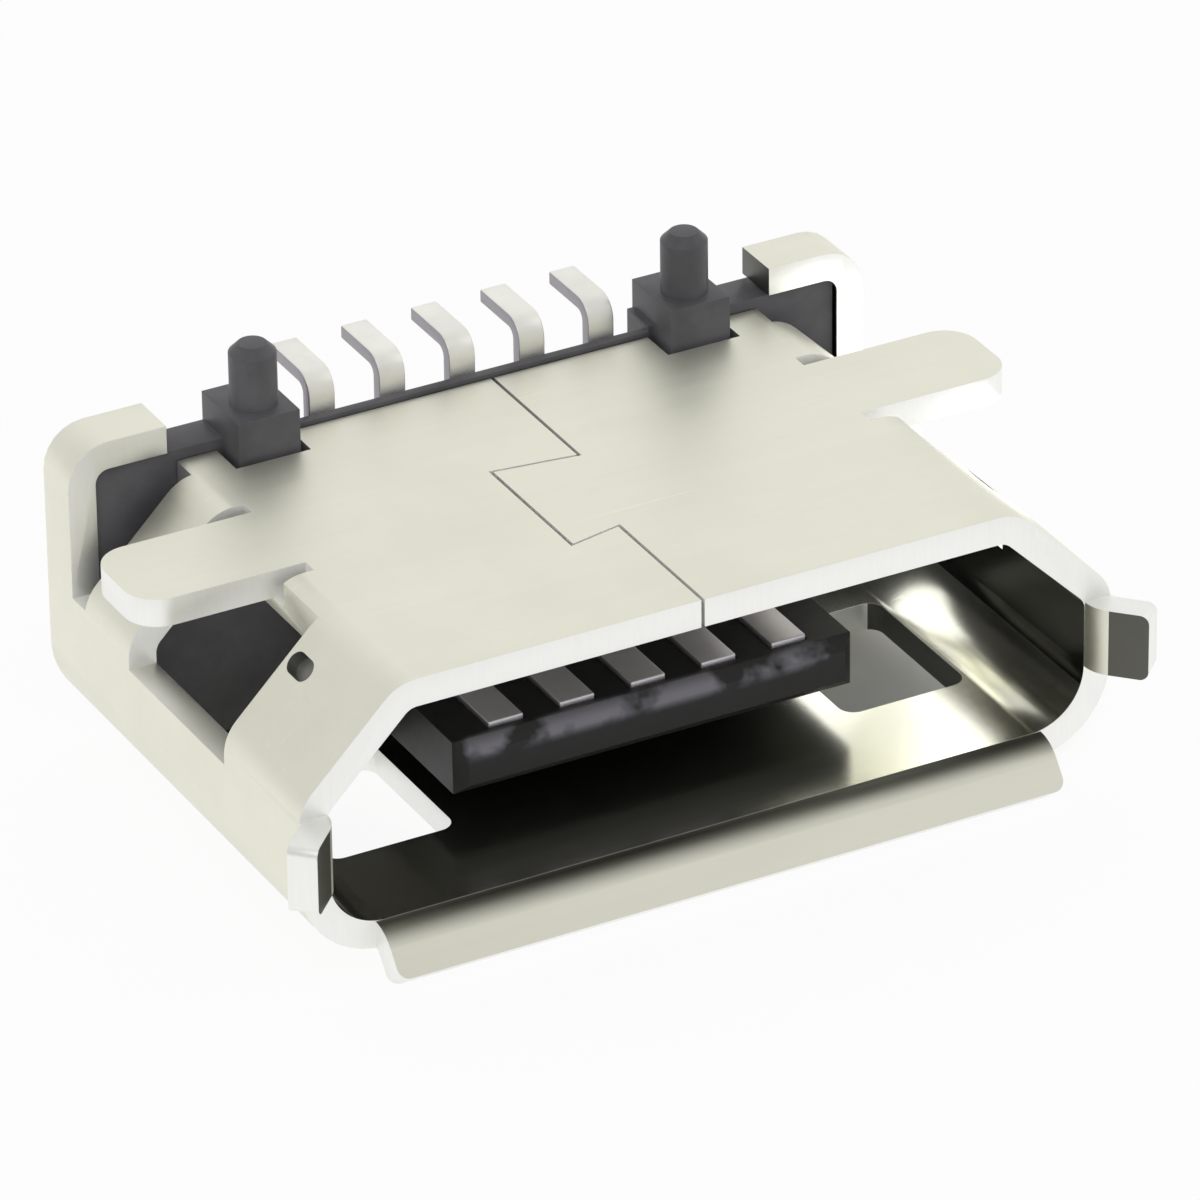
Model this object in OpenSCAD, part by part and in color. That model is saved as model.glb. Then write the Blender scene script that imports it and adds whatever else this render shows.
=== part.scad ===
// Board-mount charging socket, seen with its board side up and its mouth towards -Y.
// One folded sheet-steel shell, one moulded housing and five stamped contacts.
// Every module draws with the mouth's rim at y = 0 and the wide side's outer face at z = 0,
// and placed() then moves the origin to the middle of the footprint, at the lowest point.

/* [Shell] */
// Thickness of the shell's sheet
sheet = 0.25; // [0.2:0.01:0.3]
// Width of the mouth inside, across the side walls
mouth_w = 6.9; // [6.6:0.05:7.4]
// Height of the mouth inside, from the wide side to the narrow side
mouth_h = 1.85; // [1.7:0.05:2.2]
// Run of the 45 degree flank between a side wall and the narrow side
flank = 0.75; // [0.6:0.05:0.85]
// Inside radius of the two corners beside the wide side
wide_corner_r = 0.5; // [0.3:0.05:0.6]
// Inside radius of the bends beside each flank
flank_bend_r = 0.15; // [0.08:0.01:0.25]
// Depth of the narrow side, from the rim
panel_depth = 4.12; // [3.8:0.02:4.6]
// Length of the wide side and of the side walls beyond the narrow side
wall_past = 0.43; // [0.35:0.01:0.6]
// Length of the narrow side beyond the flanks
flank_short = 0.26; // [0.2:0.02:0.4]

/* [Flared rim] */
// Width of the lip on the wide side
lip_w = 6.1; // [4.5:0.1:6.2]
// Straight length of the lip beyond its bend
lip_len = 0.26; // [0.2:0.02:0.5]
// Radius of the corners of the lip
lip_corner_r = 0.1; // [0.04:0.02:0.16]
// Angle that the lip is flared by
lip_angle = 52; // [30:1:60]
// Straight length of each side lip beyond its bend
side_lip_len = 0.34; // [0.2:0.02:0.5]
// Angle that the side lips are flared by
side_lip_angle = 44; // [30:1:60]
// Inside radius of the bends of the rim
rim_bend_r = 0.08; // [0.05:0.01:0.12]

/* [Seam] */
// Width of the gap along the seam
seam_gap = 0.03; // [0.02:0.005:0.05]
// Place of the seam's front part, from the middle
seam_front = -0.08; // [-0.3:0.02:0.3]
// Place of the seam's rear part, from the middle
seam_rear = 0.2; // [-0.3:0.02:0.3]
// Reach of the dovetail from the seam's front part
dovetail_reach = 0.48; // [0.3:0.02:0.8]
// Width of the dovetail at its neck
dovetail_neck = 1.2; // [0.8:0.05:1.4]
// Extra width on each side of the dovetail's head
dovetail_spread = 0.1; // [0:0.01:0.2]
// Place of the dovetail's middle, from the rim
dovetail_y = 2; // [1.6:0.05:2.4]

/* [Legs and side openings] */
// Place of each side opening's front edge, from the rim
opening_front = 1.32; // [1.2:0.02:1.6]
// Height of the wall that is left under a side opening
opening_sill = 1.2; // [1.05:0.05:1.3]
// Place of each leg's front edge, from the rim
leg_front = 2.1; // [1.9:0.05:2.3]
// Width of each leg, along the socket's depth
leg_w = 0.95; // [0.7:0.05:1]
// Reach of each leg from the middle of the socket
leg_reach = 4.02; // [3.9:0.02:4.4]
// Radius of the corners at the tip of a leg
leg_corner_r = 0.3; // [0.1:0.02:0.34]
// Depth of the relief cut beside the root of a leg
relief = 0.15; // [0.06:0.01:0.18]

/* [Latch windows] */
// Width of each latch window in the wide side
window_w = 1.15; // [0.9:0.05:1.3]
// Length of each latch window
window_len = 1.55; // [0.9:0.05:1.7]
// Distance from the socket's middle to the inner edge of a window
window_in = 1.8; // [1.7:0.02:1.9]
// Place of the front edge of the windows, from the rim
window_front = 1; // [0.8:0.05:1.3]
// Radius of the corners of the windows
window_r = 0.14; // [0.08:0.02:0.2]

/* [Dents in the flanks] */
// Width of the oblong dent in each flank
dent_w = 0.2; // [0.14:0.02:0.24]
// Length of the dent, along the socket's depth
dent_len = 0.34; // [0.26:0.02:0.4]
// Depth of the dent
dent_depth = 0.12; // [0.05:0.01:0.14]
// Place of the dent's middle, from the rim
dent_y = 1.1; // [0.8:0.02:1.1]
// Distance of the dent's middle above the middle of the flank
dent_up = 0.2; // [0:0.02:0.24]

/* [Rear ears] */
// Width of each rear ear, along the socket's depth
ear_w = 0.46; // [0.3:0.02:0.5]
// Reach of the ear's hook, from the outside of the wall inwards
ear_hook = 0.9; // [0.6:0.05:0.95]
// Inside radius of the ear's bend
ear_bend_r = 0.12; // [0.08:0.02:0.16]

/* [Board] */
// Height of the board's face above the narrow side
standoff = 0.36; // [0.3:0.02:0.4]
// Distance between the locating posts
post_pitch = 4; // [3.9:0.05:4.1]
// Diameter of the locating posts
post_d = 0.4; // [0.3:0.02:0.44]
// Length of a locating post beyond the board's face
post_len = 0.56; // [0.4:0.02:0.9]
// Chamfer at the tip of a locating post
post_tip = 0.08; // [0.04:0.01:0.12]
// Distance from the rear edge of the narrow side forward to the posts' middle
post_in = 0.02; // [0:0.01:0.06]
// Width of the square boss round the foot of a post
boss_w = 0.56; // [0.5:0.02:0.62]

/* [Housing] */
// Width of the tongue
tongue_w = 3.66; // [3.4:0.02:3.7]
// Thickness of the tongue
tongue_t = 0.48; // [0.4:0.02:0.5]
// Gap between the wide side and the tongue
tongue_gap = 0.3; // [0.28:0.01:0.34]
// Place of the tongue's front face, from the rim
tongue_front = 0.9; // [0.8:0.02:1]
// Chamfer round the tongue's front edge
tongue_chamfer = 0.1; // [0.05:0.01:0.12]
// Length of the housing block under the narrow side
block_len = 0.77; // [0.6:0.01:0.85]
// Distance from the rear edge of the narrow side forward to the block's rear face
block_in = 0.1; // [0.06:0.01:0.16]
// Length of the housing's shoulders beyond the narrow side
shoulder_past = 0.38; // [0.3:0.01:0.42]
// Height of the ledge behind the narrow side
ledge_h = 0.5; // [0.3:0.05:0.7]
// Height that the ledge stands proud of the narrow side
ledge_proud = 0.04; // [0:0.01:0.08]
// Gap between the ledge and the contact tails
ledge_gap = 0.04; // [0.02:0.01:0.06]
// Width of the recess that the contact tails rise through
recess_w = 3.34; // [3.3:0.02:3.36]
// Gap between the housing and the shell
fit_gap = 0.015; // [0.01:0.005:0.03]

/* [Contacts] */
// Distance between the middles of neighbouring contacts
contact_pitch = 0.65; // [0.6:0.01:0.7]
// Width of a contact on the tongue
contact_w = 0.32; // [0.26:0.02:0.36]
// Width of a contact's tail
tail_w = 0.24; // [0.2:0.02:0.28]
// Thickness of a contact
contact_t = 0.12; // [0.1:0.01:0.15]
// Height that a contact stands proud of the tongue
contact_proud = 0.04; // [0.02:0.01:0.06]
// Place of the contacts' front ends, from the rim
contact_front = 1.08; // [1.02:0.02:1.2]
// Inside radius of the bends in a tail
tail_bend_r = 0.08; // [0.05:0.01:0.1]
// Gap between a tail and the rear edge of the narrow side
tail_gap = 0.14; // [0.12:0.01:0.18]
// Reach of the tails' feet beyond the narrow side
foot_past = 0.84; // [0.6:0.02:1.1]
// Gap between a contact and the slot that holds it
slot_gap = 0.01; // [0.005:0.005:0.02]

/* [Hidden] */
$fn = 48;
EPS = 0.01;
CONTACTS = 5;
BEND_STEPS = 6;
CORNER_STEPS = 14;

half_w = mouth_w / 2;
wall_x = half_w + sheet;
inner_top = sheet + mouth_h;
panel_top = inner_top + sheet;
panel_half = half_w - flank;
flank_foot = inner_top - flank;
board_z = panel_top + standoff;
shell_depth = panel_depth + wall_past;
flank_depth = panel_depth - flank_short;
leg_rear = leg_front + leg_w;
ear_front = shell_depth - ear_w;
post_y = panel_depth - post_in;
block_rear = panel_depth - block_in;
block_front = block_rear - block_len;
shoulder_rear = panel_depth + shoulder_past;
foot_reach = panel_depth + foot_past;
tongue_bottom = sheet + tongue_gap;
tongue_top = tongue_bottom + tongue_t;
contact_top = tongue_top + contact_proud;
contact_bottom = contact_top - contact_t;
tail_y = panel_depth + tail_gap;
post_x = post_pitch / 2;
shoulder_top = board_z - sheet - fit_gap;
lip_low = rim_bend_r * (1 - cos(lip_angle)) + lip_len * sin(lip_angle);
lip_reach = (rim_bend_r + sheet) * sin(lip_angle) + lip_len * cos(lip_angle);
middle_y = (foot_reach - lip_reach) / 2;

function dir(a) = [cos(a), sin(a)];
function arc(c, r, a1, a2, steps) = [for (i = [0:steps]) c + r * dir(a1 + (a2 - a1) * i / steps)];
// Centre of the bend that rounds the corner v between faces whose outward normals are at a1 and a2
function bend_centre(v, a1, a2, r) = v - r * (dir(a1) + dir(a2)) / (1 + cos(a1 - a2));
// Right half of the shell's section, at the distance d outside the mouth, from the top down
function half_section(d) = concat(
    arc(bend_centre([panel_half, inner_top], 90, 45, flank_bend_r), flank_bend_r + d, 90, 45, BEND_STEPS),
    arc(bend_centre([half_w, flank_foot], 45, 0, flank_bend_r), flank_bend_r + d, 45, 0, BEND_STEPS),
    arc([half_w - wide_corner_r, sheet + wide_corner_r], wide_corner_r + d, 0, -90, CORNER_STEPS)
);
function section(d) = let (h = half_section(d), n = len(h) - 1)
    concat(h, [for (i = [n:-1:0]) [-h[i][0], h[i][1]]]);
// The seam's line from the rear of the narrow side to the rim, shifted by s across the sheet
function seam_line(s) = [
    [seam_rear + s, panel_depth + EPS],
    [seam_rear + s, dovetail_y + dovetail_neck / 2 - s],
    [seam_front + s - dovetail_reach, dovetail_y + dovetail_neck / 2 + dovetail_spread - s],
    [seam_front + s - dovetail_reach, dovetail_y - dovetail_neck / 2 - dovetail_spread + s],
    [seam_front + s, dovetail_y - dovetail_neck / 2 + s],
    [seam_front + s, -EPS]
];

// Carries the children, drawn as x and z, from the depth y1 to the depth y2
module along_y(y1, y2) {
    translate([0, y2, 0]) rotate([90, 0, 0]) linear_extrude(y2 - y1) children();
}

// Carries the children, drawn as y and z, over the width w about the middle
module across_x(w) {
    translate([-w / 2, 0, 0]) rotate([90, 0, 90]) linear_extrude(w) children();
}

module both_sides() {
    children();
    mirror([1, 0, 0]) children();
}

// A plate in x and y with round corners
module plate_outline(x1, y1, x2, y2, r) {
    translate([x1 + r, y1]) square([x2 - x1 - 2 * r, y2 - y1]);
    translate([x1, y1 + r]) square([x2 - x1, y2 - y1 - 2 * r]);
    for (x = [x1 + r, x2 - r], y = [y1 + r, y2 - r]) translate([x, y]) circle(r);
}

// A tab about x = 0 that reaches from y = 0 to -Y, with round corners at its free end
module tab_outline(w, length, r) {
    translate([-w / 2, r - length]) square([w, length - r]);
    translate([r - w / 2, -length]) square([w - 2 * r, length]);
    for (x = [r - w / 2, w / 2 - r]) translate([x, r - length]) circle(r);
}

// A quarter or smaller part of a bent strip, from the angle a1 to a2, about the origin
module bend(r, t, a1, a2) {
    polygon(concat(arc([0, 0], r, a1, a2, BEND_STEPS), arc([0, 0], r + t, a2, a1, BEND_STEPS)));
}

// A lip whose root lies along x at y = 0 on a sheet between z = 0 and z = sheet, flared to -z
module flared_lip(w, angle, length, corner) {
    translate([0, 0, -rim_bend_r]) {
        across_x(w) bend(rim_bend_r, sheet, 90 - EPS, 90 + angle);
        rotate([angle, 0, 0]) translate([0, 0, rim_bend_r]) linear_extrude(sheet)
            tab_outline(w, length, corner);
    }
}

module leg() {
    translate([0, 0, inner_top]) linear_extrude(sheet)
        plate_outline(panel_half - leg_w / 2, leg_front, leg_reach, leg_rear, leg_corner_r);
}

// The wall's rear end, which rises to the board and hooks inwards over the housing's shoulder
module rear_ear() {
    bend_x = half_w - ear_bend_r;
    bend_z = board_z - sheet - ear_bend_r;
    along_y(ear_front, shell_depth) {
        translate([half_w, flank_foot - sheet]) square([sheet, bend_z - flank_foot + sheet]);
        translate([bend_x, bend_z]) bend(ear_bend_r, sheet, 0, 90);
        translate([wall_x - ear_hook, board_z - sheet]) square([bend_x - wall_x + ear_hook, sheet]);
    }
}

// The cut that frees the leg from the flank and from the top of the side wall
module side_opening() {
    outside = wall_x - panel_half;
    translate([panel_half + sheet / 2, opening_front, inner_top - EPS])
        cube([outside, leg_front - opening_front, 2 * sheet]);
    translate([panel_half - relief, leg_front - relief, inner_top - EPS])
        cube([outside, relief, 2 * sheet]);
    translate([panel_half - relief, leg_rear, inner_top - EPS])
        cube([relief + sheet, relief, 2 * sheet]);
    translate([panel_half + sheet / 2, opening_front, opening_sill])
        cube([outside, leg_rear - opening_front, inner_top - opening_sill]);
}

// What is cut off behind the flanks, beside the narrow side, down to the wall's top
module rear_corner_cut() {
    top = 2 * sheet + flank;
    translate([panel_half, flank_depth, flank_foot]) cube([flank + 2 * sheet, shell_depth, top]);
}

module latch_window() {
    translate([0, 0, -EPS]) linear_extrude(sheet + 2 * EPS)
        plate_outline(window_in, window_front, window_in + window_w, window_front + window_len, window_r);
}

// A blind oblong dent, sunk at right angles into a flank's outside
module flank_dent() {
    run = dent_len - dent_w;
    translate([half_w - flank / 2, dent_y, flank_foot + flank / 2]) rotate([0, 45, 0])
        translate([-dent_up, 0, sheet - dent_depth]) {
            for (y = [-run / 2, run / 2]) translate([0, y, 0]) cylinder(d = dent_w, h = sheet);
            translate([-dent_w / 2, -run / 2, 0]) cube([dent_w, run, sheet]);
        }
}

// The notch in the rear edge of the narrow side that lets a post's boss through
module post_notch() {
    side = boss_w + 8 * fit_gap;
    translate([post_x - side / 2, post_y - side / 2, inner_top - EPS])
        cube([side, shell_depth, 2 * sheet]);
}

module seam() {
    before = seam_line(-seam_gap / 2);
    behind = seam_line(seam_gap / 2);
    translate([0, 0, inner_top - EPS]) linear_extrude(sheet + 2 * EPS)
        polygon(concat(before, [for (i = [len(behind) - 1:-1:0]) behind[i]]));
}

module shell() color([0.86, 0.86, 0.81]) placed() {
    difference() {
        along_y(0, shell_depth) difference() {
            polygon(section(sheet));
            polygon(section(0));
        }
        translate([-panel_half, panel_depth, inner_top - EPS])
            cube([2 * panel_half, shell_depth, 2 * sheet]);
        seam();
        both_sides() {
            side_opening();
            rear_corner_cut();
            latch_window();
            flank_dent();
            post_notch();
        }
    }
    both_sides() {
        leg();
        rear_ear();
        translate([half_w, 0, (flank_foot + sheet + wide_corner_r) / 2]) rotate([0, -90, 0])
            translate([0, 0, -sheet])
                flared_lip(flank_foot - sheet - wide_corner_r, side_lip_angle, side_lip_len, rim_bend_r);
    }
    flared_lip(lip_w, lip_angle, lip_len, lip_corner_r);
}

// The tongue, with its front edges chamfered
module tongue() {
    front = tongue_front;
    c = tongue_chamfer;
    intersection() {
        across_x(tongue_w) polygon([
            [front, tongue_bottom + c], [front + c, tongue_bottom], [block_front + EPS, tongue_bottom],
            [block_front + EPS, tongue_top], [front + c, tongue_top], [front, tongue_top - c]
        ]);
        translate([0, 0, tongue_bottom]) linear_extrude(tongue_t) polygon([
            [-tongue_w / 2, front + c], [-tongue_w / 2 + c, front], [tongue_w / 2 - c, front],
            [tongue_w / 2, front + c], [tongue_w / 2, block_front + EPS], [-tongue_w / 2, block_front + EPS]
        ]);
    }
}

// The block that closes the back of the shell, open behind the contacts
module housing_block() {
    difference() {
        union() {
            along_y(block_front, shoulder_rear) polygon(section(-fit_gap));
            both_sides() translate([recess_w / 2, panel_depth + fit_gap, flank_foot])
                cube([half_w - fit_gap - recess_w / 2, shoulder_past - fit_gap, shoulder_top - flank_foot]);
        }
        translate([-recess_w / 2, block_rear, 0]) cube([recess_w, shell_depth, board_z]);
    }
    across_x(recess_w + 2 * EPS) ledge_profile();
}

// The ledge that joins the shoulders, just behind the rear edge of the narrow side
module ledge_profile() {
    top = panel_top + ledge_proud;
    rear = tail_y - ledge_gap;
    under = inner_top - fit_gap;
    polygon([
        [block_rear - EPS, top - ledge_h], [rear, top - ledge_h], [rear, top],
        [panel_depth + fit_gap, top], [panel_depth + fit_gap, under], [block_rear - EPS, under]
    ]);
}

// A boss that stands on the board, with the locating post on top
module locating_post() {
    shaft_top = board_z + post_len - post_tip;
    translate([post_x, post_y, 0]) {
        translate([-boss_w / 2, -boss_w / 2, flank_foot])
            cube([boss_w, shoulder_past + post_in + boss_w / 2, board_z - flank_foot]);
        translate([0, 0, board_z - EPS]) cylinder(d = post_d, h = shaft_top - board_z + EPS);
        translate([0, 0, shaft_top]) cylinder(d1 = post_d, d2 = post_d - 2 * post_tip, h = post_tip);
    }
}

// The groove on the tongue and the slot through the block that hold one contact
module contact_slot() {
    w = contact_w + 2 * slot_gap;
    translate([-w / 2, contact_front - slot_gap, contact_bottom - slot_gap])
        cube([w, block_front - contact_front, contact_t + contact_proud]);
    translate([-w / 2, block_front - slot_gap - EPS, contact_bottom - slot_gap])
        cube([w, shell_depth, contact_t + 2 * slot_gap]);
}

module housing() color([0.13, 0.13, 0.14]) placed() {
    difference() {
        union() {
            tongue();
            housing_block();
            both_sides() locating_post();
        }
        for (i = [1:CONTACTS]) translate([contact_x(i), 0, 0]) contact_slot();
    }
}

function contact_x(i) = (i - (CONTACTS + 1) / 2) * contact_pitch;

// The side view of a contact's tail: back out of the housing, up to the board and back again
module tail_profile() {
    riser_bottom = contact_top + tail_bend_r;
    riser_top = board_z - contact_t - tail_bend_r;
    foot_y = tail_y + contact_t + tail_bend_r;
    translate([block_rear, contact_bottom]) square([tail_y - tail_bend_r - block_rear, contact_t]);
    translate([tail_y - tail_bend_r, riser_bottom]) bend(tail_bend_r, contact_t, -90, 0);
    translate([tail_y, riser_bottom]) square([contact_t, riser_top - riser_bottom]);
    translate([foot_y, riser_top]) bend(tail_bend_r, contact_t, 90, 180);
    translate([foot_y, board_z - contact_t]) square([foot_reach - foot_y, contact_t]);
}

module contact(i) color([0.78, 0.77, 0.8]) placed() translate([contact_x(i), 0, 0]) {
    across_x(contact_w) translate([contact_front, contact_bottom])
        square([block_rear - contact_front, contact_t]);
    across_x(tail_w) tail_profile();
}

module placed() {
    translate([0, -middle_y, lip_low]) children();
}

module contact_1() contact(1);
module contact_2() contact(2);
module contact_3() contact(3);
module contact_4() contact(4);
module contact_5() contact(5);

shell();
housing();
contact_1();
contact_2();
contact_3();
contact_4();
contact_5();
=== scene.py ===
"""Looks of a board-mount charging socket, laid out as an add-on and run as a script.

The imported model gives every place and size. Each folded, moulded or stamped piece takes its shape
from its node, gets the small rounded edges that a press or a mould leaves, and a procedural finish.
"""
import math

import bmesh
import bpy
import numpy as np
from bpy.props import FloatProperty, FloatVectorProperty, PointerProperty
from bpy.types import Operator, Panel, PropertyGroup
from mathutils import Matrix, Vector
from mathutils.bvhtree import BVHTree


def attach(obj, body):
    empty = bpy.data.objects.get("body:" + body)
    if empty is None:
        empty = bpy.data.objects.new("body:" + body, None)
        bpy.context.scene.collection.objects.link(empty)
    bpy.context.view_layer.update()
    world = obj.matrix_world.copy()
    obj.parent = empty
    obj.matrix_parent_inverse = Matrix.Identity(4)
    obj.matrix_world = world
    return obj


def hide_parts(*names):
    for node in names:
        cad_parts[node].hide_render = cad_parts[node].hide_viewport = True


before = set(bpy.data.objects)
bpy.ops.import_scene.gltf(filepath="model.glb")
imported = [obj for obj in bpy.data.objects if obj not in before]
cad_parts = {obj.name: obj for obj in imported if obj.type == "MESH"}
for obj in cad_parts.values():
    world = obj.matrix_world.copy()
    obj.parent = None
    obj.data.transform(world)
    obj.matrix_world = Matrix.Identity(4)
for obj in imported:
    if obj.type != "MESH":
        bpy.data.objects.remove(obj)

bl_info = {
    "name": "Charging socket",
    "version": (1, 0, 0),
    "blender": (4, 5, 0),
    "location": "View3D > Sidebar > Socket",
    "description": "Plated shell, moulded housing and contacts of a board-mount charging socket",
    "category": "Object",
}

MM = 0.001
CONTACTS = ["contact_%d" % i for i in range(1, 6)]

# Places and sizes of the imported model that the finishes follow
SHEET = 0.25 * MM
MOUTH_MIDDLE = 1.41 * MM
MOUTH_REACH = 2.6 * MM
RIM = -2.26 * MM
TONGUE_REAR = 0.98 * MM
TONGUE_FRONT = -1.36 * MM
TONGUE_TOP = 1.266 * MM
DENTS = [(-0.00308, -0.00117, 0.00225), (0.00308, -0.00117, 0.00225)]
DENT_REACH = 0.21 * MM

# The z of the lower lip's normal, and the inward part of a side lip's, where their bends end
LIP_SLOPE = 0.62
LIP_INWARD = 0.76

# Lamps: place and side in millimetres, power in watts
LAMPS = (("key_lamp", (-30, -45, 60), 40, 0.006), ("fill_lamp", (50, -20, 40), 40, 0.003))

# Lit cards: place in millimetres, turn in degrees, width and height in millimetres, power in watts
CARDS = (("side_card", (3.95, 0.4, 1.92), (0, 90, 0), 0.8, 2.3, 0.0000085),
         ("rear_card", (2.93, 0.88, 1.62), (-90, 0, 0), 0.97, 1.05, 0.0000048))

# The part of the floor that lies in the socket's own shade and shows through the right window; its
# colour is painted darker there as shadow
SHADE_MIDDLE = (2.5 * MM, -0.2 * MM, 0.0)
SHADE_INNER = 1.1 * MM
SHADE_OUTER = 2.1 * MM

# The photo's view, as fitted to the mouth, the posts and the contact tails
PHOTO_SIDE = 1200
VIEW_AZIMUTH = -27.82
VIEW_ELEVATION = 29.46
VIEW_ROLL = -0.79
VIEW_DISTANCE = 80.9 * MM
VIEW_SCALE = 122.56
VIEW_TARGET = Vector((0.0, -0.0699, 1.4356)) * MM
TARGET_PIXEL = (582.5, 604.7)


class SocketSizes(PropertyGroup):
    """Small sizes that the press and the mould leave"""
    shell_edge: FloatProperty(
        name="Shell edge", description="Rounding of the sheet's stamped edges",
        default=0.022 * MM, unit="LENGTH")
    housing_edge: FloatProperty(
        name="Housing edge", description="Rounding of the moulded edges",
        default=0.03 * MM, unit="LENGTH")
    contact_edge: FloatProperty(
        name="Contact edge", description="Rounding of the contacts' stamped edges",
        default=0.014 * MM, unit="LENGTH")
    floor_reach: FloatProperty(
        name="Floor", description="Half the width of the pale floor",
        default=400 * MM, unit="LENGTH")


class SocketColours(PropertyGroup):
    """Colours of the finishes"""
    steel: FloatVectorProperty(
        name="Plated steel", description="Colour of the shell's plating",
        default=(0.87, 0.865, 0.75), subtype="COLOR", min=0, max=1)
    # Near white: partly the cut metal's own colour, partly a painted highlight on the cut edges
    sheared: FloatVectorProperty(
        name="Sheared edge", description="Colour of the sheet's cut edges",
        default=(0.97, 0.97, 0.94), subtype="COLOR", min=0, max=1)
    plastic: FloatVectorProperty(
        name="Black plastic", description="Colour of the moulded housing",
        default=(0.075, 0.074, 0.08), subtype="COLOR", min=0, max=1)
    # Painted highlight: grey patches on the upper front of the tongue
    wear_and_highlight: FloatVectorProperty(
        name="Highlighted plastic", description="Colour of the tongue's worn front edge",
        default=(0.3, 0.29, 0.34), subtype="COLOR", min=0, max=1)
    contact: FloatVectorProperty(
        name="Contact plating", description="Colour of the contacts",
        default=(0.86, 0.83, 0.89), subtype="COLOR", min=0, max=1)
    tin: FloatVectorProperty(
        name="Tin", description="Colour of the contacts' tinned tails",
        default=(0.95, 0.94, 0.88), subtype="COLOR", min=0, max=1)
    floor: FloatVectorProperty(
        name="Floor", description="Colour of the floor",
        default=(0.93, 0.93, 0.93), subtype="COLOR", min=0, max=1)


def add_socket(group, name, kind, way, value=None):
    """Adds an input or output to a node group."""
    socket = group.interface.new_socket(name=name, in_out=way, socket_type=kind)
    if value is not None:
        socket.default_value = value
    return socket


def new_node(tree, kind, values=(), **facts):
    """A node of that kind, with its facts set and its input sockets given by name."""
    node = tree.nodes.new(kind)
    for key, value in facts.items():
        setattr(node, key, value)
    for key, value in dict(values).items():
        node.inputs[key].default_value = value
    return node


def new_group(name, inputs, outputs):
    """A shader node group with named inputs (name, kind, default) and outputs (name, kind)."""
    group = bpy.data.node_groups.new(name, "ShaderNodeTree")
    for label, kind, value in inputs:
        add_socket(group, label, kind, "INPUT", value)
    for label, kind in outputs:
        add_socket(group, label, kind, "OUTPUT")
    return group, group.nodes.new("NodeGroupInput"), group.nodes.new("NodeGroupOutput")


def rolled_grain_group():
    """Fine lines along X that rolling leaves in sheet: noise stretched along X by one over Stretch,
    in two sizes, the coarser a third as fine. Grain is their mix."""
    group, given, out = new_group(
        "rolled_grain",
        [("Scale", "NodeSocketFloat", 9000.0), ("Stretch", "NodeSocketFloat", 0.03)],
        [("Grain", "NodeSocketFloat")])
    link = group.links.new
    place = new_node(group, "ShaderNodeTexCoord")
    stretch = new_node(group, "ShaderNodeCombineXYZ", {"Y": 1.0, "Z": 1.0})
    scaled = new_node(group, "ShaderNodeVectorMath", operation="MULTIPLY")
    fine = new_node(group, "ShaderNodeTexNoise", {"Detail": 6.0, "Roughness": 0.6})
    broad = new_node(group, "ShaderNodeTexNoise", {"Detail": 3.0, "Roughness": 0.5})
    third = new_node(group, "ShaderNodeMath", {1: 0.31}, operation="MULTIPLY")
    mix = new_node(group, "ShaderNodeMix", {"Factor": 0.45}, data_type="FLOAT")
    link(given.outputs["Stretch"], stretch.inputs["X"])
    link(place.outputs["Object"], scaled.inputs[0])
    link(stretch.outputs["Vector"], scaled.inputs[1])
    link(scaled.outputs["Vector"], fine.inputs["Vector"])
    link(scaled.outputs["Vector"], broad.inputs["Vector"])
    link(given.outputs["Scale"], fine.inputs["Scale"])
    link(given.outputs["Scale"], third.inputs[0])
    link(third.outputs["Value"], broad.inputs["Scale"])
    link(fine.outputs["Fac"], mix.inputs["A"])
    link(broad.outputs["Fac"], mix.inputs["B"])
    link(mix.outputs["Result"], out.inputs["Grain"])
    return group


def handling_group():
    """Marks of handling: Smudge is soft blotches from broad noise, Scratch is short straight
    lines, the peaks of noise that is turned and stretched thirty times, and Pit is the middles of
    a Voronoi texture's cells."""
    group, given, out = new_group(
        "handling_marks",
        [("Smudge Scale", "NodeSocketFloat", 700.0), ("Scratch Scale", "NodeSocketFloat", 500.0),
         ("Pit Scale", "NodeSocketFloat", 5200.0)],
        [("Smudge", "NodeSocketFloat"), ("Scratch", "NodeSocketFloat"), ("Pit", "NodeSocketFloat")])
    link = group.links.new
    place = new_node(group, "ShaderNodeTexCoord")
    smudge = new_node(group, "ShaderNodeTexNoise", {"Detail": 4.0, "Roughness": 0.55})
    smooth = new_node(group, "ShaderNodeMapRange", {"From Min": 0.35, "From Max": 0.68},
                      interpolation_type="SMOOTHSTEP")
    turned = new_node(group, "ShaderNodeMapping", {"Rotation": (0.3, 0.2, 0.7),
                                                   "Scale": (1.0, 30.0, 30.0)})
    peaks = new_node(group, "ShaderNodeTexNoise", {"Detail": 1.0})
    thin = new_node(group, "ShaderNodeMapRange", {"From Min": 0.72, "From Max": 0.8})
    cells = new_node(group, "ShaderNodeTexVoronoi", {"Randomness": 1.0})
    pit = new_node(group, "ShaderNodeMapRange", {"From Min": 0.05, "From Max": 0.16,
                                                 "To Min": 1.0, "To Max": 0.0})
    link(place.outputs["Object"], smudge.inputs["Vector"])
    link(place.outputs["Object"], turned.inputs["Vector"])
    link(turned.outputs["Vector"], peaks.inputs["Vector"])
    link(place.outputs["Object"], cells.inputs["Vector"])
    link(given.outputs["Smudge Scale"], smudge.inputs["Scale"])
    link(given.outputs["Scratch Scale"], peaks.inputs["Scale"])
    link(given.outputs["Pit Scale"], cells.inputs["Scale"])
    link(smudge.outputs["Fac"], smooth.inputs["Value"])
    link(peaks.outputs["Fac"], thin.inputs["Value"])
    link(cells.outputs["Distance"], pit.inputs["Value"])
    link(smooth.outputs["Result"], out.inputs["Smudge"])
    link(thin.outputs["Result"], out.inputs["Scratch"])
    link(pit.outputs["Result"], out.inputs["Pit"])
    return group


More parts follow.
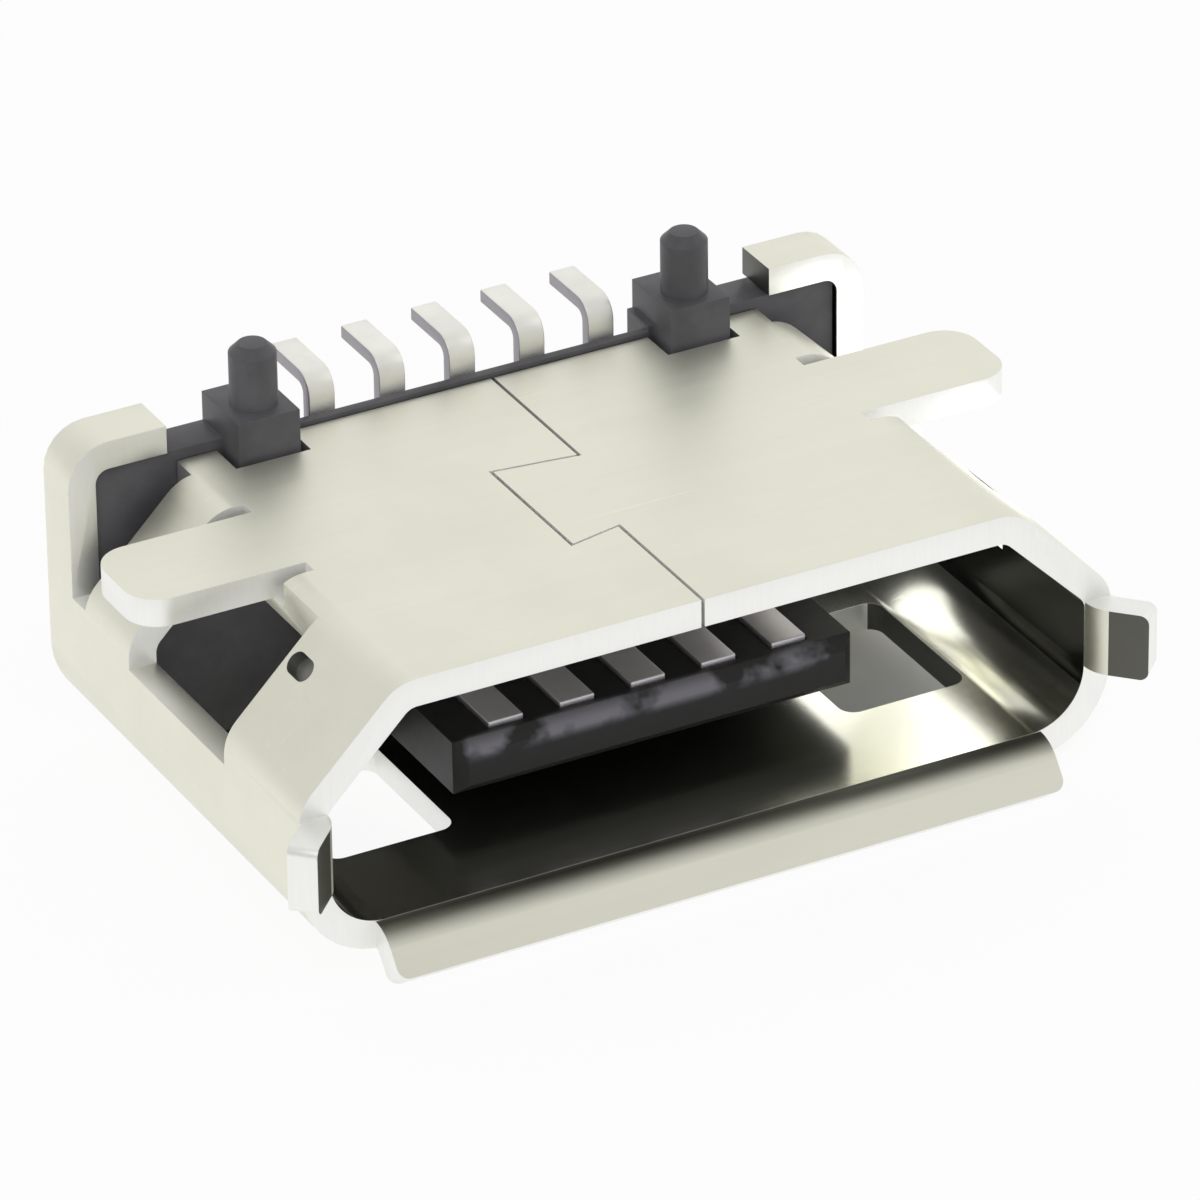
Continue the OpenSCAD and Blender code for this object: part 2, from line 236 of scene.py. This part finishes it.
def shear_group():
    """Marks of the press: Cut is the piece's own mask of its sheared faces, Dent that of its dents,
    Inner that of its burnished inside, and Lines is noise stretched across the sheet. The last
    output is the mask of painted shade on its upright ends, or on the lower lip's bend
    (normal z - LIP_SLOPE) / (1 - LIP_SLOPE)."""
    group, given, out = new_group(
        "sheared_edge", [("Scale", "NodeSocketFloat", 30000.0)],
        [("Cut", "NodeSocketFloat"), ("Lines", "NodeSocketFloat"), ("Dent", "NodeSocketFloat"),
         ("Inner", "NodeSocketFloat"), ("Painted_Shade", "NodeSocketFloat")])
    link = group.links.new
    mask = new_node(group, "ShaderNodeAttribute", attribute_name="cut_edge")
    dent = new_node(group, "ShaderNodeAttribute", attribute_name="dent")
    inner = new_node(group, "ShaderNodeAttribute", attribute_name="inner")
    shade_mask = new_node(group, "ShaderNodeAttribute", attribute_name="shade_mask")
    bend = new_node(group, "ShaderNodeAttribute", attribute_name="lip_bend")
    facts = new_node(group, "ShaderNodeNewGeometry")
    rise = between(group, facts.outputs["Normal"], "Z", LIP_SLOPE, 1.0)
    turned = mathed(group, "MULTIPLY", bend.outputs["Fac"], rise)
    place = new_node(group, "ShaderNodeTexCoord")
    flat = new_node(group, "ShaderNodeVectorMath", {1: (1.0, 1.0, 0.08)}, operation="MULTIPLY")
    lines = new_node(group, "ShaderNodeTexNoise", {"Detail": 3.0, "Roughness": 0.6})
    link(place.outputs["Object"], flat.inputs[0])
    link(flat.outputs["Vector"], lines.inputs["Vector"])
    link(given.outputs["Scale"], lines.inputs["Scale"])
    link(mask.outputs["Fac"], out.inputs["Cut"])
    link(dent.outputs["Fac"], out.inputs["Dent"])
    link(inner.outputs["Fac"], out.inputs["Inner"])
    link(mathed(group, "MAXIMUM", shade_mask.outputs["Fac"], turned), out.inputs["Painted_Shade"])
    link(lines.outputs["Fac"], out.inputs["Lines"])
    return group


def placed_group(tree, name, **values):
    """A shared node group, set in a material with its own values."""
    node = tree.nodes.new("ShaderNodeGroup")
    node.node_tree = bpy.data.node_groups[name]
    for key, value in values.items():
        node.inputs[key.replace("_", " ")].default_value = value
    return node


def mixed_colour(tree, factor, a, b):
    """A colour between a and b. Each of them is a colour or an output."""
    mix = new_node(tree, "ShaderNodeMix", data_type="RGBA")
    tree.links.new(factor, mix.inputs["Factor"])
    for value, socket in ((a, mix.inputs[6]), (b, mix.inputs[7])):
        if isinstance(value, bpy.types.NodeSocket):
            tree.links.new(value, socket)
        else:
            socket.default_value = (*value, 1.0)
    return mix.outputs[2]


def ranged(tree, value, low, high):
    """The value, from nothing to one, carried to the range from low to high."""
    node = new_node(tree, "ShaderNodeMapRange", {"To Min": low, "To Max": high})
    tree.links.new(value, node.inputs["Value"])
    return node.outputs["Result"]


def between(tree, vector, axis, low, high, **facts):
    """How far a vector's coordinate has gone from low, which gives 0, to high, which gives 1."""
    apart = new_node(tree, "ShaderNodeSeparateXYZ")
    node = new_node(tree, "ShaderNodeMapRange", {"From Min": low, "From Max": high}, **facts)
    tree.links.new(vector, apart.inputs["Vector"])
    tree.links.new(apart.outputs[axis], node.inputs["Value"])
    return node.outputs["Result"]


def mathed(tree, operation, a, b):
    """The result of an operation on two values, each a number or an output."""
    node = new_node(tree, "ShaderNodeMath", operation=operation)
    for index, value in enumerate((a, b)):
        if isinstance(value, bpy.types.NodeSocket):
            tree.links.new(value, node.inputs[index])
        else:
            node.inputs[index].default_value = value
    return node.outputs["Value"]


def new_material(name):
    """A node material with a Principled BSDF, which is returned with its tree."""
    material = bpy.data.materials.new(name)
    material.use_nodes = True
    return material, material.node_tree, material.node_tree.nodes["Principled BSDF"]


def bumped(tree, shader, height, strength, distance):
    """Feeds the shader's normal with a height map."""
    bump = new_node(tree, "ShaderNodeBump", {"Strength": strength, "Distance": distance})
    tree.links.new(height, bump.inputs["Height"])
    tree.links.new(bump.outputs["Normal"], shader.inputs["Normal"])


def tinted(colour, share):
    """The colour with each channel multiplied by the share."""
    return tuple(channel * share for channel in colour)


def plated_steel(colours):
    """Satin plating over rolled sheet, with smudges and light scratches. Its sheared edges are near
    white, partly their own colour and partly a painted highlight, and its dents, the mouth's
    upright ends and the lower lip's bend carry painted shade.
    """
    material, tree, shader = new_material("plated_steel")
    grain = placed_group(tree, "rolled_grain", Scale=14000.0, Stretch=0.05)
    marks = placed_group(tree, "handling_marks", Smudge_Scale=620.0, Scratch_Scale=420.0)
    shear = placed_group(tree, "sheared_edge")
    steel = tuple(colours.steel)
    toned = mixed_colour(tree, grain.outputs["Grain"], tinted(steel, 0.95), tinted(steel, 1.04))
    smudged = mixed_colour(tree, ranged(tree, marks.outputs["Smudge"], 0.0, 0.3), toned,
                           tinted(steel, 0.9))
    scratched = mixed_colour(tree, ranged(tree, marks.outputs["Scratch"], 0.0, 0.22), smudged,
                             tinted(steel, 1.18))
    # Painted highlight, partly the cut metal's own colour: the sheared edges are near white
    sheared = mixed_colour(tree, shear.outputs["Lines"], tinted(tuple(colours.sheared), 0.93),
                           tuple(colours.sheared))
    edged = mixed_colour(tree, shear.outputs["Cut"], scratched, sheared)
    # Painted shade: the dents' faces are darkened towards 0.12 of the steel
    dent_shaded = mixed_colour(tree, ranged(tree, shear.outputs["Dent"], 0.0, 0.75), edged,
                          tinted(steel, 0.12))
    # Painted shade: the mouth's upright ends and the lower lip's bend are darkened towards 0.08 of
    # the steel
    shade_painted = mixed_colour(tree, ranged(tree, shear.outputs["Painted_Shade"], 0.0, 0.93), dent_shaded,
                          tinted(steel, 0.08))
    tree.links.new(shade_painted, shader.inputs["Base Color"])
    shader.inputs["Metallic"].default_value = 1.0
    rough = mathed(tree, "ADD", ranged(tree, grain.outputs["Grain"], 0.38, 0.5),
                   ranged(tree, marks.outputs["Smudge"], 0.0, 0.05))
    rough = mathed(tree, "MULTIPLY", rough, ranged(tree, shear.outputs["Inner"], 1.0, 0.42))
    tree.links.new(rough, shader.inputs["Roughness"])
    height = mathed(tree, "ADD", grain.outputs["Grain"],
                    mathed(tree, "MULTIPLY", marks.outputs["Scratch"], -0.5))
    height = mathed(tree, "ADD", height, mathed(tree, "MULTIPLY", marks.outputs["Pit"], -0.35))
    bumped(tree, shader, height, 0.35, 0.0012 * MM)
    return material


def black_plastic(colours):
    """Moulded plastic: fine spark texture, faint flow lines and slightly dusty patches. In front of
    TONGUE_REAR, on the tongue, it is darker and has no dust, and the upper part of the tongue's
    front carries patches of painted highlight in grey."""
    material, tree, shader = new_material("black_plastic")
    grain = placed_group(tree, "rolled_grain", Scale=26000.0, Stretch=1.0)
    marks = placed_group(tree, "handling_marks", Smudge_Scale=1500.0, Scratch_Scale=900.0,
                         Pit_Scale=16000.0)
    plastic = tuple(colours.plastic)
    dusty = mixed_colour(tree, ranged(tree, marks.outputs["Smudge"], 0.0, 0.6), plastic,
                         tinted(plastic, 2.1))
    grey = mixed_colour(tree, ranged(tree, grain.outputs["Grain"], 0.0, 0.5), dusty,
                        tinted(plastic, 1.5))
    place = new_node(tree, "ShaderNodeTexCoord").outputs["Object"]
    # On the tongue, in front of TONGUE_REAR, the colour is darkened to 0.3 of the plastic and the
    # dust is left out
    tongue_zone = between(tree, place, "Y", TONGUE_REAR - 0.1 * MM, TONGUE_REAR - 0.5 * MM)
    tongue_darkened = mixed_colour(tree, tongue_zone, grey, tinted(plastic, 0.3))
    # Painted highlight: grey patches on the upper part of the tongue's front
    high = between(tree, place, "Z", TONGUE_TOP - 0.2 * MM, TONGUE_TOP - 0.06 * MM,
                   interpolation_type="SMOOTHSTEP")
    front = between(tree, place, "Y", TONGUE_FRONT + 0.14 * MM, TONGUE_FRONT)
    patch = new_node(tree, "ShaderNodeTexNoise", {"Scale": 2600.0, "Detail": 3.0})
    patched = new_node(tree, "ShaderNodeMapRange", {"From Min": 0.42, "From Max": 0.58})
    tree.links.new(place, patch.inputs["Vector"])
    tree.links.new(patch.outputs["Fac"], patched.inputs["Value"])
    wear_and_highlight = mathed(tree, "MULTIPLY", mathed(tree, "MULTIPLY", high, front),
                  patched.outputs["Result"])
    tree.links.new(mixed_colour(tree, wear_and_highlight, tongue_darkened, tuple(colours.wear_and_highlight)),
                   shader.inputs["Base Color"])
    shader.inputs["IOR"].default_value = 1.36
    rough = mathed(tree, "ADD", ranged(tree, grain.outputs["Grain"], 0.32, 0.46),
                   ranged(tree, marks.outputs["Smudge"], 0.0, 0.08))
    tree.links.new(rough, shader.inputs["Roughness"])
    height = mathed(tree, "SUBTRACT", grain.outputs["Grain"],
                    mathed(tree, "MULTIPLY", marks.outputs["Pit"], 0.3))
    bumped(tree, shader, height, 0.4, 0.0018 * MM)
    return material


def contact_metal(colours):
    """Pale plating over stamped strip, polished by the plug, with lines along the strip. Behind
    TONGUE_REAR, on the tails, it is tinned. Its sides across X are darker: partly the strip's bare
    sheared metal and partly painted shade."""
    material, tree, shader = new_material("contact_metal")
    grain = placed_group(tree, "rolled_grain", Scale=20000.0, Stretch=0.3)
    marks = placed_group(tree, "handling_marks", Smudge_Scale=2200.0, Scratch_Scale=1400.0)
    metal = tuple(colours.contact)
    toned = mixed_colour(tree, grain.outputs["Grain"], tinted(metal, 0.93), tinted(metal, 1.06))
    wear_and_highlight = mixed_colour(tree, ranged(tree, marks.outputs["Smudge"], 0.0, 0.4), toned,
                        tinted(metal, 0.86))
    place = new_node(tree, "ShaderNodeTexCoord")
    tail = between(tree, place.outputs["Object"], "Y", TONGUE_REAR, TONGUE_REAR + 0.2 * MM)
    tin = mixed_colour(tree, marks.outputs["Smudge"], tuple(colours.tin),
                       tinted(tuple(colours.tin), 0.92))
    faced = mixed_colour(tree, tail, wear_and_highlight, tin)
    # Painted shade, partly the bare sheared metal: the sides facing along X are darkened to 0.42
    normal = new_node(tree, "ShaderNodeNewGeometry").outputs["Normal"]
    side = mathed(tree, "MAXIMUM", between(tree, normal, "X", 0.6, 0.85),
                  between(tree, normal, "X", -0.6, -0.85))
    tree.links.new(mixed_colour(tree, side, faced, tinted(metal, 0.42)),
                   shader.inputs["Base Color"])
    shader.inputs["Metallic"].default_value = 0.7
    tree.links.new(ranged(tree, grain.outputs["Grain"], 0.34, 0.46), shader.inputs["Roughness"])
    bumped(tree, shader, grain.outputs["Grain"], 0.3, 0.001 * MM)
    return material


def formed_copy(node, name):
    """A copy of a node's mesh under a new name, with doubles merged and flat faces made whole."""
    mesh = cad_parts[node].data.copy()
    mesh.name = name
    work = bmesh.new()
    work.from_mesh(mesh)
    bmesh.ops.remove_doubles(work, verts=work.verts, dist=0.0004 * MM)
    bmesh.ops.dissolve_limit(work, angle_limit=math.radians(0.4), verts=work.verts,
                             edges=work.edges, use_dissolve_boundaries=False)
    work.to_mesh(mesh)
    work.free()
    mesh.materials.clear()
    while mesh.attributes.get("COLOR_0"):
        mesh.attributes.remove(mesh.attributes["COLOR_0"])
    piece = bpy.data.objects.new(name, mesh)
    bpy.context.scene.collection.objects.link(piece)
    return piece


def mark_cut_faces(piece, sheet):
    """Marks each face behind which the metal is nowhere as thick as the sheet."""
    mesh = piece.data
    tree = BVHTree.FromPolygons([vertex.co for vertex in mesh.vertices],
                                [face.vertices[:] for face in mesh.polygons])
    mask = np.ones(len(mesh.polygons), np.float32)
    lift = 0.002 * MM
    for face in mesh.polygons:
        for index in face.vertices:
            start = mesh.vertices[index].co.lerp(face.center, 0.06) - face.normal * lift
            hit = tree.ray_cast(start, -face.normal)
            if hit[3] is not None and abs(hit[3] + lift - sheet) < 0.1 * sheet:
                mask[face.index] = 0.0
    attribute = mesh.attributes.new("cut_edge", "FLOAT", "FACE")
    attribute.data.foreach_set("value", mask)


def mark_inner_faces(piece, middle, half_width):
    """Marks the faces that look towards the mouth's middle line, which a punch has burnished, and
    the upright ones at the mouth's ends and the lower lip's bend, which take painted shade."""
    mesh = piece.data
    inner = np.zeros(len(mesh.polygons), np.float32)
    shade_mask = np.zeros(len(mesh.polygons), np.float32)
    bend = np.zeros(len(mesh.polygons), np.float32)
    for face in mesh.polygons:
        at = face.center
        aim = Vector((max(-half_width, min(half_width, at.x)), at.y, middle))
        burnished = at.y > RIM and face.normal.dot(aim - at) > 0.5 * (aim - at).length
        inner[face.index] = float(burnished)
        inward = -face.normal.x * math.copysign(1.0, at.x)
        upright = abs(at.x) > half_width and abs(face.normal.z) < 0.3 and inward > 0.4
        if upright and (at.y > RIM or inward < LIP_INWARD):
            shade_mask[face.index] = 1.0
        if at.y < RIM and at.z < middle and abs(at.x) < half_width + SHEET:
            bend[face.index] = float(face.normal.z > LIP_SLOPE)
    for name, mask in (("inner", inner), ("shade_mask", shade_mask), ("lip_bend", bend)):
        mesh.attributes.new(name, "FLOAT", "FACE").data.foreach_set("value", mask)


def mark_dents(piece, places, radius):
    """Marks the faces whose middles lie within the radius of a place, which take painted shade, but
    none larger than about the disc of that radius."""
    largest = 3.2 * radius * radius
    mesh = piece.data
    middles = np.empty(3 * len(mesh.polygons), np.float32)
    mesh.polygons.foreach_get("center", middles)
    middles = middles.reshape(-1, 3)
    areas = np.empty(len(mesh.polygons), np.float32)
    mesh.polygons.foreach_get("area", areas)
    mask = np.zeros(len(mesh.polygons), np.float32)
    for place in places:
        near = np.linalg.norm(middles - np.array(place), axis=1) < radius
        mask[near & (areas < largest)] = 1.0
    attribute = mesh.attributes.new("dent", "FLOAT", "FACE")
    attribute.data.foreach_set("value", mask)


def finished(piece, edge, material, node):
    """Rounds the piece's sharp edges, shades it smooth with flat faces kept flat, and seats it."""
    piece.data.materials.append(material)
    piece.data.shade_smooth()
    bevel = piece.modifiers.new("stamped_edges", "BEVEL")
    bevel.width = edge
    bevel.segments = 3
    bevel.limit_method = "ANGLE"
    bevel.angle_limit = math.radians(28)
    bevel.use_clamp_overlap = True
    flat = piece.modifiers.new("flat_faces", "WEIGHTED_NORMAL")
    flat.keep_sharp = True
    flat.weight = 100
    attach(piece, "root")
    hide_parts(node)


class SOCKET_OT_shell(Operator):
    """Forms the folded shell, marks its sheared edges and plates it"""
    bl_idname = "socket.shell"
    bl_label = "Shell"

    def execute(self, context):
        sizes = context.scene.socket_sizes
        piece = formed_copy("shell", "folded_shell")
        mark_cut_faces(piece, SHEET)
        mark_inner_faces(piece, MOUTH_MIDDLE, MOUTH_REACH)
        mark_dents(piece, DENTS, DENT_REACH)
        finished(piece, sizes.shell_edge, plated_steel(context.scene.socket_colours), "shell")
        return {"FINISHED"}


class SOCKET_OT_housing(Operator):
    """Forms the moulded housing with its tongue and posts"""
    bl_idname = "socket.housing"
    bl_label = "Housing"

    def execute(self, context):
        sizes = context.scene.socket_sizes
        piece = formed_copy("housing", "moulded_housing")
        finished(piece, sizes.housing_edge, black_plastic(context.scene.socket_colours), "housing")
        return {"FINISHED"}


class SOCKET_OT_contacts(Operator):
    """Forms the stamped contacts"""
    bl_idname = "socket.contacts"
    bl_label = "Contacts"

    def execute(self, context):
        sizes = context.scene.socket_sizes
        metal = contact_metal(context.scene.socket_colours)
        for node in CONTACTS:
            finished(formed_copy(node, "stamped_" + node), sizes.contact_edge, metal, node)
        return {"FINISHED"}


def floor_material(colours):
    """Matt pale floor. Camera, glossy and transmission rays see most of it as plain white, and
    the rest keeps the object's soft shadow. Under the socket, within the shade's radius, they see
    the shaded floor itself, whose colour is painted darker there as shadow."""
    material = bpy.data.materials.new("pale_floor")
    material.use_nodes = True
    tree = material.node_tree
    tree.nodes.clear()
    link = tree.links.new
    out = new_node(tree, "ShaderNodeOutputMaterial")
    matt = new_node(tree, "ShaderNodeBsdfDiffuse")
    white = new_node(tree, "ShaderNodeEmission", {"Color": (1, 1, 1, 1), "Strength": 1.0})
    rays = new_node(tree, "ShaderNodeLightPath")
    mix = new_node(tree, "ShaderNodeMixShader")
    seen = mathed(tree, "MAXIMUM", rays.outputs["Is Camera Ray"], rays.outputs["Is Glossy Ray"])
    seen = mathed(tree, "MAXIMUM", seen, rays.outputs["Is Transmission Ray"])
    place = new_node(tree, "ShaderNodeTexCoord")
    away = new_node(tree, "ShaderNodeVectorMath", {1: SHADE_MIDDLE}, operation="DISTANCE")
    open_floor = new_node(tree, "ShaderNodeMapRange",
                          {"From Min": SHADE_INNER, "From Max": SHADE_OUTER},
                          interpolation_type="SMOOTHSTEP")
    link(place.outputs["Object"], away.inputs[0])
    link(away.outputs["Value"], open_floor.inputs["Value"])
    # Painted shadow: the floor's colour is darkened to 0.7 within the shade's radius
    shadow_painted_tone = mixed_colour(tree, open_floor.outputs["Result"], tinted(tuple(colours.floor), 0.7),
                        tuple(colours.floor))
    link(shadow_painted_tone, matt.inputs["Color"])
    share = mathed(tree, "MULTIPLY", open_floor.outputs["Result"], 0.92)
    link(mathed(tree, "MULTIPLY", seen, share), mix.inputs["Fac"])
    link(matt.outputs["BSDF"], mix.inputs[1])
    link(white.outputs["Emission"], mix.inputs[2])
    link(mix.outputs["Shader"], out.inputs["Surface"])
    return material


def soft_lamp(name, place, side, power):
    """A square lamp at a place in millimetres that faces the socket."""
    lamp = bpy.data.lights.new(name, "AREA")
    lamp.shape = "SQUARE"
    lamp.size = side * MM
    lamp.energy = power
    holder = bpy.data.objects.new(name, lamp)
    bpy.context.scene.collection.objects.link(holder)
    at = Vector(place) * MM
    holder.location = at
    holder.rotation_euler = (at - VIEW_TARGET).to_track_quat("Z", "Y").to_euler()


def mirror_card(name, place, turn, width, height, power):
    """A small lit card that the camera doesn't see and that lights nothing but the shell, for the
    floor of the mouth to mirror. Its place and sides are in millimetres, its turn in degrees."""
    lamp = bpy.data.lights.new(name, "AREA")
    lamp.shape = "RECTANGLE"
    lamp.size = width * MM
    lamp.size_y = height * MM
    lamp.energy = power
    holder = bpy.data.objects.new(name, lamp)
    bpy.context.scene.collection.objects.link(holder)
    holder.location = Vector(place) * MM
    holder.rotation_euler = [math.radians(angle) for angle in turn]
    holder.visible_camera = False
    lit = bpy.data.collections.new(name + "_lit")
    lit.objects.link(bpy.data.objects["folded_shell"])
    holder.light_linking.receiver_collection = lit


def photo_camera():
    """The photo's camera: it looks at the target from the fitted side and height."""
    azimuth, elevation = math.radians(VIEW_AZIMUTH), math.radians(VIEW_ELEVATION)
    back = Vector((math.sin(azimuth) * math.cos(elevation),
                   -math.cos(azimuth) * math.cos(elevation), math.sin(elevation)))
    right = Vector((math.cos(azimuth), math.sin(azimuth), 0.0))
    turn = Matrix((right, back.cross(right), back)).transposed()
    turn = turn @ Matrix.Rotation(math.radians(VIEW_ROLL), 3, "Z")
    camera = bpy.data.cameras.new("photo_camera")
    camera.sensor_fit = "HORIZONTAL"
    camera.sensor_width = 36.0
    camera.lens = camera.sensor_width * VIEW_SCALE * (VIEW_DISTANCE / MM) / PHOTO_SIDE
    camera.shift_x = (PHOTO_SIDE / 2 - TARGET_PIXEL[0]) / PHOTO_SIDE
    camera.shift_y = (TARGET_PIXEL[1] - PHOTO_SIDE / 2) / PHOTO_SIDE
    camera.clip_start = 1 * MM
    camera.clip_end = 4.0
    holder = bpy.data.objects.new("photo_camera", camera)
    bpy.context.scene.collection.objects.link(holder)
    holder.matrix_world = Matrix.Translation(VIEW_TARGET + back * VIEW_DISTANCE) @ turn.to_4x4()
    bpy.context.scene.camera = holder


def white_world():
    """A white surround, brightest behind the socket and to its right, where its narrow side
    mirrors it, and dimmer in front and on the left."""
    world = bpy.data.worlds.new("white_surround")
    world.use_nodes = True
    tree = world.node_tree
    background = tree.nodes["Background"]
    background.inputs["Color"].default_value = (1, 1, 1, 1)
    incoming = new_node(tree, "ShaderNodeNewGeometry").outputs["Incoming"]
    front = between(tree, incoming, "Y", -0.7, 0.7, interpolation_type="SMOOTHSTEP")
    left = between(tree, incoming, "X", -0.4, 0.5, interpolation_type="SMOOTHSTEP")
    tree.links.new(mathed(tree, "MULTIPLY", ranged(tree, front, 0.92, 0.64),
                          ranged(tree, left, 1.0, 0.84)), background.inputs["Strength"])
    bpy.context.scene.world = world


class SOCKET_OT_stage(Operator):
    """Lays the pale floor and sets the lamps, the surround and the camera"""
    bl_idname = "socket.stage"
    bl_label = "Stage"

    def execute(self, context):
        reach = context.scene.socket_sizes.floor_reach
        mesh = bpy.data.meshes.new("pale_floor")
        mesh.from_pydata([(-reach, -reach, 0), (reach, -reach, 0), (reach, reach, 0),
                          (-reach, reach, 0)], [], [(0, 1, 2, 3)])
        mesh.materials.append(floor_material(context.scene.socket_colours))
        floor = bpy.data.objects.new("pale_floor", mesh)
        context.scene.collection.objects.link(floor)
        for lamp in LAMPS:
            soft_lamp(*lamp)
        for card in CARDS:
            mirror_card(*card)
        photo_camera()
        white_world()
        context.scene.view_settings.view_transform = "Standard"
        return {"FINISHED"}


class SOCKET_PT_panel(Panel):
    """Lists the socket's sizes, colours and steps"""
    bl_idname = "SOCKET_PT_panel"
    bl_label = "Charging socket"
    bl_space_type = "VIEW_3D"
    bl_region_type = "UI"
    bl_category = "Socket"

    def draw(self, context):
        for group in (context.scene.socket_sizes, context.scene.socket_colours):
            for key in group.__annotations__:
                self.layout.prop(group, key)
        for operator in OPERATORS:
            self.layout.operator(operator.bl_idname)


OPERATORS = (SOCKET_OT_shell, SOCKET_OT_housing, SOCKET_OT_contacts, SOCKET_OT_stage)
GROUPS = (SocketSizes, SocketColours)


def register():
    for cls in (*GROUPS, *OPERATORS, SOCKET_PT_panel):
        bpy.utils.register_class(cls)
    bpy.types.Scene.socket_sizes = PointerProperty(type=SocketSizes)
    bpy.types.Scene.socket_colours = PointerProperty(type=SocketColours)


def unregister():
    del bpy.types.Scene.socket_colours
    del bpy.types.Scene.socket_sizes
    for cls in (SOCKET_PT_panel, *reversed(OPERATORS), *reversed(GROUPS)):
        bpy.utils.unregister_class(cls)


def main():
    """Registers the add-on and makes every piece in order."""
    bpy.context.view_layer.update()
    register()
    rolled_grain_group()
    handling_group()
    shear_group()
    bpy.ops.socket.shell()
    bpy.ops.socket.housing()
    bpy.ops.socket.contacts()
    bpy.ops.socket.stage()


if __name__ == "__main__":
    main()
